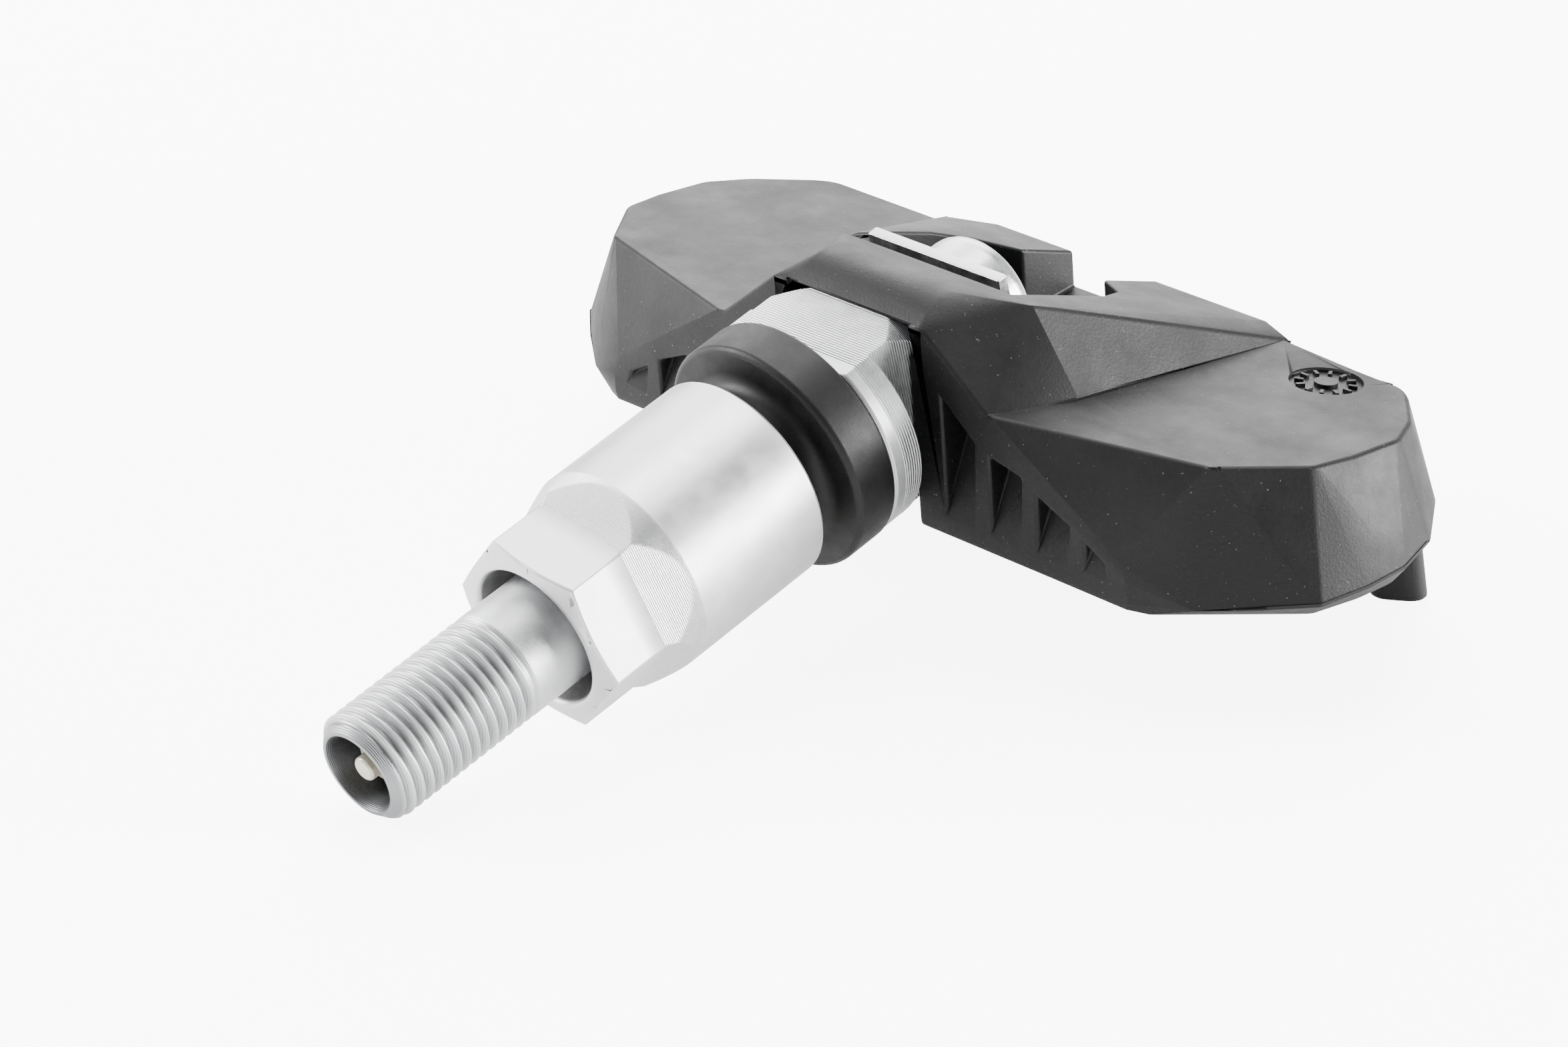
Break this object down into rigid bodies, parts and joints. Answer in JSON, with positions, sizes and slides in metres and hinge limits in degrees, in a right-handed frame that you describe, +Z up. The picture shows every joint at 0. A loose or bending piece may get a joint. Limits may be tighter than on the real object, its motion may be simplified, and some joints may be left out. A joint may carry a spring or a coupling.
{
  "type": "clamp-in tyre pressure sensor",
  "caption": "Tyre pressure sensor with an aluminium clamp-in valve stem, collar nut and rubber grommet, screwed into a black moulded housing with two wings and rear feet.",
  "frame": {"origin": "centre of the valve hole in the wheel rim, on the stem's axis, where the grommet's neck fills it", "axes": "+Z up as the sensor lies on its stem tip and two rear feet; -Y is the side that the stem points to, 15 degrees below level; +X across the housing"},
  "size_m": [0.0696, 0.0732, 0.0235],
  "materials": {
    "housing_plastic": "fine matt moulded glass-filled nylon",
    "potting": "cast sealing compound",
    "board": "green solder mask",
    "cell_steel": "nickel-plated steel",
    "tab_steel": "nickel strip",
    "chip_plastic": "moulded epoxy",
    "seal_rubber": "silicone rubber",
    "ferrite": "sintered ferrite",
    "copper": "enamelled copper",
    "stem_aluminium": "turned, satin anodised",
    "nut_aluminium": "turned and milled, satin anodised",
    "grommet_rubber": "satin moulded rubber",
    "core_brass": "turned brass",
    "pin_brass": "tinned brass",
    "core_rubber": "moulded rubber",
    "spring_steel": "stainless spring wire",
    "screw_steel": "zinc plated"
  },
  "bodies": {
    "sensor": {"housing": "housing_plastic", "base_potting": "potting", "circuit_board": "board", "battery_cell": "cell_steel", "battery_tab_plus": "tab_steel", "battery_tab_minus": "tab_steel", "pressure_sensor": "chip_plastic", "port_seal": "seal_rubber", "coil_core": "ferrite", "coil_winding": "copper", "radio_chip": "chip_plastic", "crystal": "tab_steel", "loop_antenna": "copper", "chip_capacitors": "ferrite", "valve_stem": "stem_aluminium", "rubber_grommet": "grommet_rubber", "core_barrel": "core_brass", "core_seal_ring": "core_rubber", "core_spring": "spring_steel", "retaining_screw": "screw_steel", "screw_plate": "screw_steel"},
    "nut": {"collar_nut": "nut_aluminium"},
    "pin": {"core_pin": "pin_brass", "core_cup": "seal_rubber"}
  },
  "joints": [
    {"name": "nut_turn", "type": "hinge", "parent": "sensor", "child": "nut", "pos_m": [0, 0, 0], "axis": [0, 0.9659, 0.2588], "continuous": true},
    {"name": "pin_press", "type": "slide", "parent": "sensor", "child": "pin", "axis": [0, 0.9659, 0.2588], "range_m": [0, 0.0015], "stiffness_N_per_m": 400, "springref_m": -0.002, "deforming": ["core_spring"]}
  ]
}
